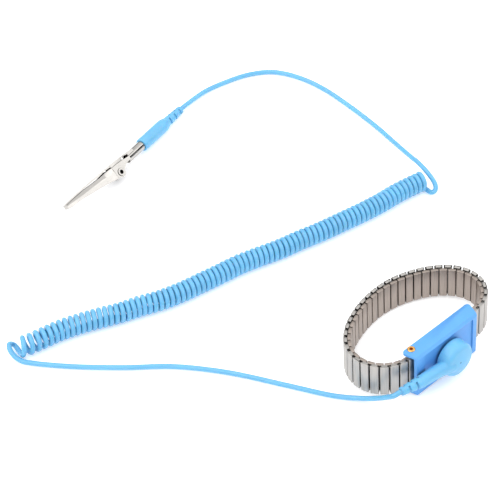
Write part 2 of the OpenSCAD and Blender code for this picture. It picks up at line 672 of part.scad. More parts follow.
// A channel bent from sheet, through sections that each lie square to the clip's length. A section
// is [x, outer points, inner points], each point [y, z]
module channel(sections) {
    m = 2 * len(sections[0][1]);
    n = len(sections);
    points = [for (s = sections) each concat(
        [for (p = s[1]) [jaw_x(s[0]), p[0], p[1]]],
        [for (k = [m / 2 - 1:-1:0]) [jaw_x(s[0]), s[2][k][0], s[2][k][1]]]
    )];
    sides = [for (k = [0:n - 2], j = [0:m - 1])
        let (a = k * m + j, b = k * m + (j + 1) % m)
        each [[a, b + m, b], [a, a + m, b + m]]];
    ends = [for (j = [0:m / 2 - 2]) each [
        [j, j + 1, m - 2 - j, m - 1 - j],
        [for (q = [m - 1 - j, m - 2 - j, j + 1, j]) (n - 1) * m + q]
    ]];
    polyhedron(points, concat(sides, ends));
}
tooth_from = 49;
tooth_to = 60;
tooth_depth = 0.4;
module clip_barrel_jaw() {
    b = clip_sheet;
    side_gap = clip_sheet + run_gap;
    floor_t = 0.8 * b;
    stations = [
        [17, -3.5, -2.6], [24, -3.9, -2.7], [28, -4.0, -3.1], [31, -4.1, -3.4], [34.7, -4.2, -3.05],
        [38, -4.3, -3.2], [42, -4.4, -3.55], [49, -4.5, -3.7], [58, -4.4, -3.7], [61, -4.2, -3.6], [62, -4, -3.5]
    ];
    ear = concat(
        [[17, -3.4], [24, -3.8], [26.4, -3.9], [26.4, -2.9], [25.6, 1]],
        [for (a = [-5:20:175]) pivot + (ear_r - 0.3) * unit(a)], [[17.4, -2.5]]
    );
    color(nickel) clip_frame() difference() {
        union() {
            channel([for (s = stations) let (w = half_w(s[0]) - side_gap)
                [s[0], [[s[2], w], [s[1], w], [s[1], -w], [s[2], -w]],
                 [[s[2], w - b], [s[1] + floor_t, w - b], [s[1] + floor_t, b - w], [s[2], b - w]]]]);
            for (side = [-1, 1])
                translate([0, 0, side * (inner_ear_z - b / 2) - b / 2]) linear_extrude(b) polygon(ear);
            // the neck that runs from the barrel's back into the jaw's back
            translate([0, 0, -inner_ear_z]) linear_extrude(2 * inner_ear_z) polygon([
                [8, -1.2], [12.8, -1.2], [12.8, -2.2], [17, -3.1], [19, -3.2], [19, -3.6], [17, -3.5],
                [13.5, -3.2], [9.5, -2.8], [8, -2.4]
            ]);
            translate([barrel_front, 0, 0]) rotate([0, 90, 0]) cylinder(d = barrel_d, h = barrel_len);
        }
        translate([barrel_front - over, 0, 0]) rotate([0, 90, 0])
            cylinder(d = barrel_d - 2 * barrel_wall, h = barrel_len + 4);
        // the barrel's seam
        translate([barrel_front - over, -0.25, 0]) cube([barrel_len + 2 * over, 0.5, barrel_d]);
        translate([pivot[0], pivot[1], -clip_w]) cylinder(d = pivot_d, h = 2 * clip_w);
    }
}
// Side walls stand square to the bend line, and from there lean inward to the mouth
module clip_upper_jaw() {
    b = clip_sheet;
    stations = [
        [25.5, 4.6, 1.0, -2.0], [28.1, 4.0, 0.5, -2.4], [31.5, 3.2, -0.2, -2.5], [35, 2.5, -0.8, -2.35],
        [38.9, 1.8, -1.05, -2.65], [44.9, 0.9, -1.4, -3.15], [tooth_from, 0.2, -1.65, -3.4],
        [53.2, -0.35, -2.0, -3.45], [59.6, -0.75, -2.6, -3.45], [61.5, -1.4, -2.7, -3.4]
    ];
    skirt = [[27, 0], [31, 0.9], [61, 0.48]];
    ear = concat(
        [[12.9, 0.9], [13, -0.9], [18, -1.6], [23, -2.0], [26.5, -2.1], [26.5, 4.3]],
        [for (a = [50:20:170]) pivot + ear_r * unit(a)], [[17.7, 1.2]]
    );
    color(nickel) clip_frame() difference() {
        union() {
            channel([for (s = stations) let (w = half_w(s[0]), m = w - lookup(s[0], skirt))
                [s[0], [[s[3], -m], [s[2], -w], [s[1], -w], [s[1], w], [s[2], w], [s[3], m]],
                 [[s[3], b - m], [s[2], b - w], [s[1] - b, b - w], [s[1] - b, w - b], [s[2], w - b], [s[3], m - b]]]]);
            for (side = [-1, 1])
                translate([0, 0, side * (ear_z - b / 2) - b / 2]) linear_extrude(b) polygon(ear);
            // the folded front of the jaw
            translate([jaw_x(61.1), -3.4, -clip_tip_w / 2 + b - 0.1])
                cube([0.4, 1.8, clip_tip_w - 2 * b + 0.2]);
        }
        for (x = [tooth_from:1:tooth_to])
            translate([jaw_x(x), -3.5, -clip_w]) linear_extrude(2 * clip_w)
                polygon([[0, -1], [0.5, tooth_depth], [1, -1]]);
        translate([pivot[0], pivot[1], -clip_w]) cylinder(d = pivot_d, h = 2 * clip_w);
    }
}
module clip_pivot() {
    color(nickel) clip_frame() translate([pivot[0], pivot[1], 0]) difference() {
        union() {
            translate([0, 0, -ear_z - pivot_head_t])
                cylinder(d = pivot_d - 2 * seat_gap, h = clip_w + 2 * pivot_head_t);
            for (side = [-1, 1])
                translate([0, 0, side * (ear_z + seat_gap + pivot_head_t / 2) - pivot_head_t / 2])
                    cylinder(d = pivot_head_d, h = pivot_head_t);
        }
        translate([0, 0, -clip_w]) cylinder(d = pivot_d - 1, h = 2 * clip_w);
    }
}
spring_turns = 3;
spring_wire = 0.6;
module clip_spring() {
    r = pivot_d / 2 + spring_wire / 2 + 0.15;
    climb = 0.95;
    rings = spring_turns * rings_per_turn + 4;
    turn_points = [for (k = [0:rings]) let (a = 255 - k * 360 / rings_per_turn)
        [pivot[0] + r * cos(a), pivot[1] + r * sin(a), climb * (k - rings / 2) / rings_per_turn]];
    gap = min([for (k = [0:rings - 8], j = [5:8]) norm(turn_points[k] - turn_points[k + j])]) - spring_wire;
    echo(spring_gap = gap);
    first = turn_points[0];
    last = turn_points[rings];
    leg_in = [for (p = [[8, -5.75], [6, -5.1], [3, -3.3]]) [pivot[0] + p[0], pivot[1] + p[1], first[2]]];
    leg_out = [last + [1.9, -0.9, 0], last + [6.4, -2.05, 0]];
    color(steel) clip_frame() tube(concat(leg_in, turn_points, leg_out), spring_wire, coil_sides);
}

housing_shell();
contact_plate();
snap_stud();
stud_eyelet();
hinge_eyelet_left();
hinge_pin_right();
band_end_left();
band_end_right();
snap_head();
snap_socket();
socket_spring();
resistor();
resistor_leads();
cord_lower();
cord_coil();
cord_upper();
plug_handle();
banana_pin();
banana_spring();
clip_barrel_jaw();
clip_upper_jaw();
clip_pivot();
clip_spring();
for (k = [1:link_count]) band_link(k);
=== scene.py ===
"""Antistatic wrist strap: expansion band, snap-on coiled cord, banana plug and crocodile clip."""

import json
import math

import bmesh
import bpy
from bpy.props import FloatProperty, FloatVectorProperty, IntProperty, PointerProperty
from mathutils import Matrix, Vector


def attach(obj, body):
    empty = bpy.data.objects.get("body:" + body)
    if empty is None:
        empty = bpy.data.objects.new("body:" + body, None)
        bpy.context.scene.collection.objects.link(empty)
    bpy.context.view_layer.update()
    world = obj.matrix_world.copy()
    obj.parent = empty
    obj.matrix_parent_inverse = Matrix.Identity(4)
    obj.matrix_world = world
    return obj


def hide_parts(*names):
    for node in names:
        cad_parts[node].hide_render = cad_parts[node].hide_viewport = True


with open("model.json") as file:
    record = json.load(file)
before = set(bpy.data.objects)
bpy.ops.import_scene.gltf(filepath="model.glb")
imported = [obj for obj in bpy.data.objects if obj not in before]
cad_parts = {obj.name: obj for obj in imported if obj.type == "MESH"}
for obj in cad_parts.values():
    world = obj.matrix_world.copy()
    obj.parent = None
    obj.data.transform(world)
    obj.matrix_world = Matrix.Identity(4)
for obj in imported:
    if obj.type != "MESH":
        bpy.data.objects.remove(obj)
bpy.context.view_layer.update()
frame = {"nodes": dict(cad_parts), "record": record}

bl_info = {
    "name": "Antistatic wrist strap",
    "version": (1, 0, 0),
    "blender": (4, 5, 0),
    "location": "3D View > Sidebar > Strap",
    "description": "Builds an antistatic wrist strap round its packed CAD model",
    "category": "Object",
}

MM = 0.001

# --- Sizes shared with the CAD source, in millimetres and degrees ---
HOUSING_BACK, HOUSING_T, HOUSING_H = 44.0, 8.3, 24.5
BACK_Y = 1.5
FRONT_Y = BACK_Y - HOUSING_T
BAND_W, LINK_PITCH, LINK_GAP, CAP_T, LAYER_GAP = 18.0, 4.35, 0.3, 1.75, 0.3
CAP_LEN = LINK_PITCH - LINK_GAP
CAP_ROUND = 0.15  # radius on the caps' outer edges
LINK_COUNT = 35
# how much the loop squares off, leans and sags, as swings of its heading in degrees
LOOP_SQUARE, LOOP_LEAN, LOOP_SAG = -2.4, 3.2, 4.0
BAND_Y, BAND_Z = -1.0, (HOUSING_H - BAND_W) / 2
HINGE_INSET = 0.7  # how far the hinges stand in from the housing's back ends
END_X = HOUSING_BACK / 2 - HINGE_INSET
STUD_X, STUD_Z = 1.0, HOUSING_H / 2
STUD_REACH = 2.8  # the stud's tip in front of the housing
ROUTE_Y = 18.5  # the cord's routes are written this far behind the band's place
HEAD_BASE, HEAD_RIM, HEAD_D, DOME_H = 0.3, 6.9, 17.5, 1.3
HEAD_HOLLOW_R, HEAD_HOLLOW_H = 6.25, 6.0
NECK_START, NECK_END, RELIEF_END = (-4, -0.3, 5.4), (-21.9, 0.6, 3.3), (-33, 0.45, 1)
RELIEF_SLOTS = 5
HANDLE_LEN, HANDLE_D, PLUG_SHOULDER, PLUG_RELIEF = 22.4, 7.0, 3.5, 12.8
CLIP_X, CLIP_Y = -7.2, 184.3
CLIP_TURN, CLIP_ROLL = 193.5, 43.0
CLIP_PIVOT = (23.1, 2.6)
EAR_R, CLIP_W, PIVOT_D, PIVOT_HEAD = 2.8, 6.6, 3.2, 0.35
PIVOT_HEAD_D = PIVOT_D + 0.9
SEAT_GAP = 0.05

# --- Forms that only the finished pieces have, in millimetres ---
# open corners of the caps: their width, their height at either end, and the face left standing
NOTCH_X, NOTCH_LOW, NOTCH_HIGH, CAP_FACE = 0.65, 0.4, 0.9, 0.5
GATE_X, GATE_Y, GATE_R, GATE_DEEP = -1.1, 0.8, 0.4, 0.55  # the mould gate's dimple on the head
HEAD_SOFT, SHOULDER_H, CROWN_H = 2.6, 2.4, 0.8  # the snap head's soft shoulder and its crown
# half width and half height of the neck at the head and at its end, and its sag between them
NECK_BIG, NECK_SMALL, NECK_SAG = (3.9, 3.5), (2.95, 2.95), 0.5
SLOT_W, SLOT_SOFT, RELIEF_CORE_R = 1.0, 0.15, 1.5
HEAD_RELIEF_D, PLUG_RELIEF_D = (6.1, 4.1), (5.3, 4.2)  # at the thick and the thin end
HEAD_VOXEL, RELIEF_VOXEL = 0.22, 0.1  # grid that the mouldings are fused on
NODE_ROUND = 0.08  # radius on the eyelet's and the clip's edges
SLIVER = 0.0005  # edges shorter than this are closed up


def cosd(a):
    return math.cos(math.radians(a))


def sind(a):
    return math.sin(math.radians(a))


# --- The closed loop of the band, by the same rule as the CAD source ---
def raw_heading(k, swell):
    u = 360 * (k + 0.5) / LINK_COUNT
    bend = LOOP_LEAN * (1 - cosd(u)) - LOOP_SQUARE * sind(2 * u) + LOOP_SAG * sind(3 * u)
    return 180 - u - swell * sind(u) + bend


def raw_span(swell):
    turns = [raw_heading(k, swell) for k in range(LINK_COUNT)]
    return Vector((sum(map(cosd, turns)), sum(map(sind, turns)))) * LINK_PITCH


def loop_shape():
    """Headings and corners of the links, with the swell that closes the loop on the housing."""
    low, high = 0.0, 90.0
    for _ in range(40):
        mid = (low + high) / 2
        if raw_span(mid).length < 2 * END_X:
            low = mid
        else:
            high = mid
    swell = (low + high) / 2
    span = raw_span(swell)
    swing = math.degrees(math.atan2(span.y, span.x))
    turns = [raw_heading(k, swell) - swing for k in range(LINK_COUNT)]
    points = [Vector((-END_X, BAND_Y))]
    for turn in turns:
        points.append(points[-1] + LINK_PITCH * Vector((cosd(turn), sind(turn))))
    return turns, points


HEADINGS, VERTICES = loop_shape()


def band_place():
    """Shift and lean that rest both the housing and the band's far edge on the floor."""
    far_y = max(p.y for p in VERTICES) + LAYER_GAP / 2 + CAP_T
    tilt = math.atan(BAND_Z / (far_y - BACK_Y))
    low = (FRONT_Y - STUD_REACH) * math.cos(tilt) + STUD_Z * math.sin(tilt)
    high = far_y * math.cos(tilt) + (BAND_Z + BAND_W) * math.sin(tilt)
    xs = []
    for k, turn in enumerate(HEADINGS):
        u = Vector((cosd(turn), sind(turn)))
        for side in (-1, 1):
            corner = (VERTICES[k] + VERTICES[k + 1]) / 2 + side * (CAP_LEN / 2 - CAP_ROUND) * u
            xs.append(corner.x - (LAYER_GAP / 2 + CAP_T - CAP_ROUND) * u.y)
    return Vector((-(max(xs) + min(xs)) / 2, -(low + high) / 2, BACK_Y * math.sin(tilt))), tilt


SHIFT, TILT = band_place()
LAY = Vector((SHIFT.x, SHIFT.y + ROUTE_Y, 0))
# millimetres of the upright band to metres of the whole model
BAND_FRAME = (
    Matrix.Scale(MM, 4) @ Matrix.Translation(SHIFT) @ Matrix.Rotation(-TILT, 4, "X")
)
# Z out of the housing's front, from the stud's foot
STUD_FRAME = (
    BAND_FRAME
    @ Matrix.Translation((STUD_X, FRONT_Y, STUD_Z))
    @ Matrix.Rotation(math.radians(90), 4, "X")
)


def clip_place():
    """Lays the plug's handle and the rolled clip on the floor."""
    ear_z = CLIP_W / 2
    low = max(
        (CLIP_PIVOT[1] + EAR_R) * sind(CLIP_ROLL) + ear_z * cosd(CLIP_ROLL),
        (CLIP_PIVOT[1] + PIVOT_HEAD_D / 2) * sind(CLIP_ROLL)
        + (ear_z + SEAT_GAP + PIVOT_HEAD) * cosd(CLIP_ROLL),
    )
    back = HANDLE_LEN - PLUG_SHOULDER
    pitch = math.asin((low - HANDLE_D / 2) / (CLIP_PIVOT[0] + back))
    origin = Vector((CLIP_X + LAY.x, CLIP_Y + LAY.y, HANDLE_D / 2 + back * math.sin(pitch)))
    return (
        Matrix.Scale(MM, 4)
        @ Matrix.Translation(origin)
        @ Matrix.Rotation(math.radians(CLIP_TURN), 4, "Z")
        @ Matrix.Rotation(-pitch, 4, "Y")
        @ Matrix.Rotation(math.radians(-CLIP_ROLL), 4, "X")
    )


# X runs from the handle's front to the clip's tip
CLIP_FRAME = clip_place()


# --- Sizes and colours that a user can change ---
def hex_colour(text):
    """sRGB hex to Blender's linear colour."""
    channels = [int(text[i : i + 2], 16) / 255 for i in (0, 2, 4)]
    return tuple(c / 12.92 if c <= 0.04045 else ((c + 0.055) / 1.055) ** 2.4 for c in channels)


def colour(name, what, default):
    return FloatVectorProperty(
        name=name, description=what, subtype="COLOR", size=3, min=0, max=1, default=default
    )


def length(name, what, default_mm, low_mm, high_mm):
    return FloatProperty(
        name=name,
        description=what,
        unit="LENGTH",
        precision=5,
        default=default_mm * MM,
        min=low_mm * MM,
        max=high_mm * MM,
    )


class StrapColours(bpy.types.PropertyGroup):
    housing: colour("Housing", "Moulded ABS of the band's housing", hex_colour("5BA3E8"))
    cord: colour("Cord", "Jacket of the cord, its snap head and its plug", hex_colour("6BB4DE"))
    steel: colour("Band", "Stainless steel of the outer caps", hex_colour("BAB7B3"))
    steel_inner: colour("Inner plates", "Stainless steel of the inner plates", hex_colour("ABA098"))
    nickel: colour("Clip", "Nickel plate of the clip", hex_colour("B6B3AF"))
    brass: colour("Eyelet", "Brass of the hinge eyelet", hex_colour("E2B06A"))


class StrapSizes(bpy.types.PropertyGroup):
    cord_d: length("Cord diameter", "Outside diameter of the cord's jacket", 2.5, 2, 3)
    coil_d: length("Coil diameter", "Outside diameter of the coil", 10.6, 9, 12)
    coil_turns: IntProperty(
        name="Coil turns", description="Full turns in the coil", default=80, min=50, max=84
    )
    housing_round: length("Housing edges", "Radius on the housing's long edges", 0.4, 0.1, 0.8)
    sheet_round: length("Sheet edges", "Radius on the band's sheet edges", 0.11, 0.03, 0.14)


class StrapStudio(bpy.types.PropertyGroup):
    floor: colour("Floor", "Paper under the strap", hex_colour("F7F7F8"))
    key_power: FloatProperty(
        name="Key light",
        description="Power of the large soft light",
        unit="POWER",
        default=20,
        min=0,
        max=200,
    )


# --- Materials ---
def add(tree, kind, settings=None, links=None, stops=(), **attributes):
    """Adds a node, sets its inputs and colour stops, and links (socket: (node, output)) to it."""
    node = tree.nodes.new(kind)
    for key, value in attributes.items():
        setattr(node, key, value)
    for key, value in (settings or {}).items():
        node.inputs[key].default_value = value
    for key, (source, output) in (links or {}).items():
        tree.links.new(source.outputs[output], node.inputs[key])
    for k, (place, tint) in enumerate(stops):
        element = node.color_ramp.elements[k]
        element.position, element.color = place, tint
    return node


def blank(name):
    material = bpy.data.materials.new(name)
    material.use_nodes = True
    material.node_tree.nodes.clear()
    return material, material.node_tree


def rgba(rgb, factor=1.0):
    return (*(min(1.0, c * factor) for c in rgb), 1.0)


# the part of a noise's range that most of its surface lies in
NOISE_LOW, NOISE_HIGH = 0.3, 0.7


def shades(rgb, darker, lighter):
    """Stops from a darker to a lighter shade of a colour."""
    return (NOISE_LOW, rgba(rgb, darker)), (NOISE_HIGH, rgba(rgb, lighter))


def between(low, high):
    """Settings that bring a noise to a range."""
    return {"From Min": NOISE_LOW, "From Max": NOISE_HIGH, "To Min": low, "To Max": high}


def grain(tree, size_mm, longer=(1, 1, 1), turn=(0, 0, 0), detail=3):
    """Noise whose grains are about size_mm across, and so many times longer along turned axes."""
    where = add(tree, "ShaderNodeTexCoord")
    placed = add(
        tree,
        "ShaderNodeMapping",
        {"Rotation": turn, "Scale": [size_mm * MM * side for side in longer]},
        {"Vector": (where, "Object")},
        vector_type="TEXTURE",
    )
    return add(
        tree, "ShaderNodeTexNoise", {"Scale": 1, "Detail": detail}, {"Vector": (placed, 0)}
    )


# how much of the sky a point sees where the painted crease shade starts to darken its colour, and
# where it no longer does
CREASE_DEEP, CREASE_OPEN = 0.25, 0.85


def painted_crease_shade(tree, pattern, stops, painted_shade_reach_mm, painted_shade_least):
    """A pattern's colours with painted shade: darkened where walls stand close together, as deep
    gaps look.
    """
    tint = add(tree, "ShaderNodeValToRGB", links={"Fac": (pattern, 0)}, stops=stops)
    # painted shade: the ambient occlusion node darkens the colour where other surfaces stand within
    # reach
    near = add(tree, "ShaderNodeAmbientOcclusion", {"Distance": painted_shade_reach_mm * MM}, samples=12)
    open_part = add(
        tree,
        "ShaderNodeMapRange",
        {"From Min": CREASE_DEEP, "From Max": CREASE_OPEN, "To Min": painted_shade_least, "To Max": 1.0},
        {"Value": (near, "AO")},
    )
    return add(
        tree,
        "ShaderNodeVectorMath",
        links={0: (tint, 0), "Scale": (open_part, 0)},
        operation="SCALE",
    )


def finished(tree, settings, tint, rough, relief, strength, depth_mm):
    """Joins a colour, a roughness and the bumps of a relief into the finish of a surface."""
    bump = add(
        tree,
        "ShaderNodeBump",
        {"Strength": strength, "Distance": depth_mm * MM},
        {"Height": (relief, 0)},
    )
    shader = add(
        tree,
        "ShaderNodeBsdfPrincipled",
        settings,
        {"Base Color": (tint, 0), "Roughness": (rough, 0), "Normal": (bump, 0)},
    )
    add(tree, "ShaderNodeOutputMaterial", links={"Surface": (shader, 0)})


def moulded_abs(rgb):
    # ABS from a spark-eroded mould: a soft sheen broken by a fine even grain
    material, tree = blank("moulded_abs_light_blue")
    texture = grain(tree, 0.35, detail=4)
    cloud = grain(tree, 9, detail=2)
    # painted shade: the colour darkens in the housing's recess and creases, down to 0.4 of itself
    tint = painted_crease_shade(tree, cloud, shades(rgb, 0.97, 1.03), 1.5, 0.4)
    rough = add(tree, "ShaderNodeMapRange", between(0.42, 0.52), {"Value": (texture, 0)})
    plastic = {"IOR": 1.53, "Subsurface Weight": 0.06, "Subsurface Scale": 0.8 * MM}
    finished(tree, plastic, tint, rough, texture, 0.12, 0.05)
    return material


def soft_pvc(rgb, name, polish, painted_shade_least=0.45):
    # Plasticised PVC: slightly waxy and translucent, with a broad soft highlight
    material, tree = blank(name)
    texture = grain(tree, 0.6, detail=3)
    cloud = grain(tree, 14, detail=2)
    # painted shade: the colour darkens in the relief's slots, the coil's gaps and other creases
    tint = painted_crease_shade(tree, cloud, shades(rgb, 0.96, 1.04), 0.9, painted_shade_least)
    range_of = between(polish - 0.04, polish + 0.05)
    rough = add(tree, "ShaderNodeMapRange", range_of, {"Value": (cloud, 0)})
    plastic = {"IOR": 1.5, "Subsurface Weight": 0.25, "Subsurface Scale": 1.2 * MM}
    finished(tree, plastic, tint, rough, texture, 0.08, 0.05)
    return material


def brushed_stainless(rgb, name, line_mm, low, high):
    # Stainless strip brushed across the band: fine lines along its width, drawn coarser than
    # the real 0.03 mm so that they show, under soft smudges from handling
    material, tree = blank(name)
    lines = grain(tree, line_mm, longer=(1, 1, 60), turn=(-TILT, 0, 0), detail=4)
    smudge = grain(tree, 6, detail=2)
    # painted shade: the colour darkens almost to black in the gaps between the links and plates
    tint = painted_crease_shade(tree, lines, shades(rgb, 0.78, 1.14), 0.9, 0.04)
    rough = add(tree, "ShaderNodeMapRange", between(low, high), {"Value": (lines, 0)})
    worn = add(
        tree,
        "ShaderNodeMath",
        {1: 0.12},
        {0: (smudge, 0), 2: (rough, 0)},
        operation="MULTIPLY_ADD",
    )
    finished(tree, {"Metallic": 1.0}, tint, worn, lines, 0.15, 0.02)
    return material


def plated_metal(rgb, name, polish, painted_shade_reach_mm=0.9):
    # Bright plate over stamped sheet: sharp reflections with faint rolling marks and handling wear
    material, tree = blank(name)
    marks = grain(tree, 0.5, longer=(7, 1, 1), detail=5)
    smudge = grain(tree, 4, detail=3)
    # painted shade: the colour darkens in gaps and hollows, such as the clip's mouth and around its
    # spring
    tint = painted_crease_shade(tree, smudge, shades(rgb, 0.93, 1.03), painted_shade_reach_mm, 0.03)
    range_of = between(polish - 0.04, polish + 0.07)
    rough = add(tree, "ShaderNodeMapRange", range_of, {"Value": (marks, 0)})
    finished(tree, {"Metallic": 1.0}, tint, rough, marks, 0.05, 0.03)
    return material


def enamel(rgb):
    # Resistor enamel: glossy lacquer over a ceramic rod
    material, tree = blank("glossy_resistor_enamel")
    cloud = grain(tree, 1.2)
    stops = shades(rgb, 0.9, 1.1)
    tint = add(tree, "ShaderNodeValToRGB", links={"Fac": (cloud, 0)}, stops=stops)
    shader = add(
        tree,
        "ShaderNodeBsdfPrincipled",
        {"Roughness": 0.2, "Coat Weight": 0.5, "Coat Roughness": 0.1},
        {"Base Color": (tint, 0)},
    )
    add(tree, "ShaderNodeOutputMaterial", links={"Surface": (shader, 0)})
    return material


def studio_paper(rgb):
    # Matte translucent paper on a lit table: white without a shine, and shadows stay faint
    material, tree = blank("matte_studio_paper")
    fibre = grain(tree, 3, detail=4)
    stops = shades(rgb, 0.99, 1.0)
    tint = add(tree, "ShaderNodeValToRGB", links={"Fac": (fibre, 0)}, stops=stops)
    shader = add(
        tree,
        "ShaderNodeBsdfPrincipled",
        {"Roughness": 0.85, "Specular IOR Level": 0.2, "Emission Strength": 0.35},
        {"Base Color": (tint, 0), "Emission Color": (tint, 0)},
    )
    add(tree, "ShaderNodeOutputMaterial", links={"Surface": (shader, 0)})
    return material


SPRING_WIRE, CONTACT_STEEL, RESISTOR_BODY = map(hex_colour, ("A9A8A6", "BEBBB7", "6F9BB8"))
_made = {}


def material(name):
    """The strap's materials, each made once from the scene's colours."""
    if name not in _made:
        tint = bpy.context.scene.strap_colours
        _made[name] = {
            "abs": lambda: moulded_abs(tint.housing),
            "pvc": lambda: soft_pvc(tint.cord, "moulded_pvc_sky_blue", 0.36),
            # the jacket's painted shade keeps at least 0.9 of its colour, so the coil's gaps stay
            # light
            "jacket": lambda: soft_pvc(tint.cord, "extruded_pvc_jacket_sky_blue", 0.2, 0.9),
            "caps": lambda: brushed_stainless(
                tint.steel, "stainless_brushed_across", 0.28, 0.38, 0.52
            ),
            "plates": lambda: brushed_stainless(
                tint.steel_inner, "stainless_satin_inner", 0.22, 0.34, 0.44
            ),
            # the nickel's painted shade reaches 2.4 mm, into the clip's mouth and around its spring
            "nickel": lambda: plated_metal(tint.nickel, "nickel_plated_sheet", 0.16, 2.4),
            "brass": lambda: plated_metal(tint.brass, "brass_rolled_eyelet", 0.2),
            "wire": lambda: plated_metal(SPRING_WIRE, "drawn_spring_wire", 0.28),
            "contact": lambda: plated_metal(CONTACT_STEEL, "stainless_contact_plate", 0.3),
            "enamel": lambda: enamel(RESISTOR_BODY),
            "paper": lambda: studio_paper(bpy.context.scene.strap_studio.floor),
        }[name]()
    return _made[name]


# --- Making pieces ---
def new_object(name, data, *materials):
    obj = bpy.data.objects.new(name, data)
    bpy.context.scene.collection.objects.link(obj)
    for m in materials:
        data.materials.append(material(m))
    return obj


def on_body(obj, body, slot, *nodes):
    """The piece rides on a body and stands for CAD nodes of it."""
    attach(obj, body)
    if nodes:
        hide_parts(*nodes)


def shade(mesh, angle=38):
    mesh.shade_smooth()
    mesh.set_sharp_from_angle(angle=math.radians(angle))


def body_of(node):
    groups = frame["record"]["behaviour"]["bodies"]
    return next(body for body, members in groups.items() if node in members)


def slot_of(node):
    rows = frame["record"]["subparts"]
    return next(row["material_slot"] for row in rows if row["node"] == node)


def cleaned(node):
    """A CAD node's surface as joined flat faces."""
    work = bmesh.new()
    work.from_mesh(frame["nodes"][node].data)
    bmesh.ops.remove_doubles(work, verts=work.verts, dist=SLIVER * MM)
    bmesh.ops.dissolve_limit(
        work, angle_limit=math.radians(0.5), verts=work.verts, edges=work.edges
    )
    return work


def sharp_edges(work, angle):
    return [
        e for e in work.edges if e.is_manifold and e.calc_face_angle(0) > math.radians(angle)
    ]


def rounded(work, edges, radius, segments):
    bmesh.ops.bevel(
        work,
        geom=edges,
        offset=radius,
        offset_type="OFFSET",
        segments=segments,
        profile=0.5,
        affect="EDGES",
        clamp_overlap=True,
        harden_normals=False,
    )
    bmesh.ops.dissolve_degenerate(work, dist=SLIVER * MM, edges=work.edges)
    # a closed solid has no open edges, so a face with one is a flap that the bevel left
    flaps = [f for f in work.faces if any(e.is_boundary for e in f.edges)]
    bmesh.ops.delete(work, geom=flaps, context="FACES")


def rounded_node(node, material_name, smooth=38):
    """A CAD node with its sharp edges rounded, in its place."""
    work = cleaned(node)
    rounded(work, sharp_edges(work, 32), NODE_ROUND * MM, 2)
    mesh = bpy.data.meshes.new(node + "_finished")
    work.to_mesh(mesh)
    work.free()
    shade(mesh, smooth)
    obj = new_object(node + "_finished", mesh, material_name)
    on_body(obj, body_of(node), slot_of(node), node)


def repaint(node, material_name):
    """Keeps a CAD node and gives it a finished material."""
    data = frame["nodes"][node].data
    data.materials.clear()
    data.materials.append(material(material_name))


def mesh_from(name, work, matrix, material_name):
    bmesh.ops.transform(work, matrix=matrix, verts=work.verts)
    mesh = bpy.data.meshes.new(name)
    work.to_mesh(mesh)
    work.free()
    mesh.shade_smooth()
    return new_object(name, mesh, material_name)


def turned(work, profile, segments, matrix=Matrix()):
    """Adds a solid turned about Z from (radius, height) points; ends on the axis close it."""
    turns = [360 * k / segments for k in range(segments)]
    rings = []
    for r, z in profile:
        around = [(r * cosd(a), r * sind(a), z) for a in turns] if r else [(0, 0, z)]
        rings.append([work.verts.new(matrix @ Vector(p)) for p in around])
    for a, b in zip(rings, rings[1:]):
        for k in range(segments):
            n = (k + 1) % segments
            if len(a) == 1:
                work.faces.new((a[0], b[k], b[n]))
            elif len(b) == 1:
                work.faces.new((a[k], b[0], a[n]))
            else:
                work.faces.new((a[k], b[k], b[n], a[n]))
    return rings


def along(a, b):
    """Matrix that puts Z along the line from a to b."""
    a, b = Vector(a), Vector(b)
    return Matrix.Translation(a) @ (b - a).to_track_quat("Z", "X").to_matrix().to_4x4()


def remeshed(obj, voxel_mm, smoothing):
    """Fuses the object's shells into one moulded skin with soft inner corners."""
    voxel = obj.modifiers.new("fuse", "REMESH")
    voxel.mode = "VOXEL"
    voxel.voxel_size = voxel_mm * MM
    voxel.use_smooth_shade = True
    smooth = obj.modifiers.new("soften", "SMOOTH")
    smooth.factor = 0.5
    smooth.iterations = smoothing
    graph = bpy.context.evaluated_depsgraph_get()
    mesh = bpy.data.meshes.new_from_object(obj.evaluated_get(graph))
    obj.modifiers.clear()
    obj.data = mesh
    mesh.shade_smooth()


# --- Cord: one curve from the snap head through the coil to the plug ---
LIE_Z = 1.3  # height of the cord's middle where it lies on the floor
LOWER_ROUTE = (
    (-35.6, -24.2, 12.5), (-36.8, -21.6, 10.3), (-37.9, -17.8, 7.1), (-39.7, -13.4, 4.3),
    (-42.4, -8.2, 2.2), (-46.5, -2.4, LIE_Z), (-51.5, 4.8, LIE_Z), (-61, 21, LIE_Z),
    (-75, 44, LIE_Z), (-91, 64, LIE_Z), (-108, 79, LIE_Z), (-123, 93.5, LIE_Z),
    (-132.8, 104.2, LIE_Z), (-138.4, 111, LIE_Z), (-141.2, 115, 1.5), (-142.4, 118.8, 2.6),
    (-142.2, 122.6, 4.1), (-140.3, 125.3, 4.2), (-138, 125.1, 2.1),
)  # fmt: skip
UPPER_ROUTE = (
    (80, 60.9, 1.5), (81.3, 59.9, 2.3), (82.8, 60.6, 3.6), (83.7, 63.1, 5.4), (84, 67, 7.3),
    (84.4, 71.8, 8.6), (85.2, 76.5, 8.6), (86.3, 81, 7.4), (89.2, 90.5, 4.6), (92, 101.5, 2.4),
    (94, 113, 1.4), (95, 132, LIE_Z), (94.5, 153, LIE_Z), (91, 169, LIE_Z), (84, 181.5, LIE_Z),
    (73, 189, LIE_Z), (60, 193, LIE_Z), (46, 195, 1.5),
)  # fmt: skip
COIL_LINE = (
    (-140, 120.5), (-135, 118.5), (-128, 117), (-118, 115), (-109, 112), (-99, 108), (-90, 104),
    (-81, 101), (-71, 97), (-60, 94), (-49, 92), (-38, 90), (-27, 88.2), (-16, 85.2), (-5, 82),
    (5, 80), (17, 77), (29, 74.7), (40, 72.6), (52, 70.8), (66, 69.6), (80.2, 67.1),
)  # fmt: skip
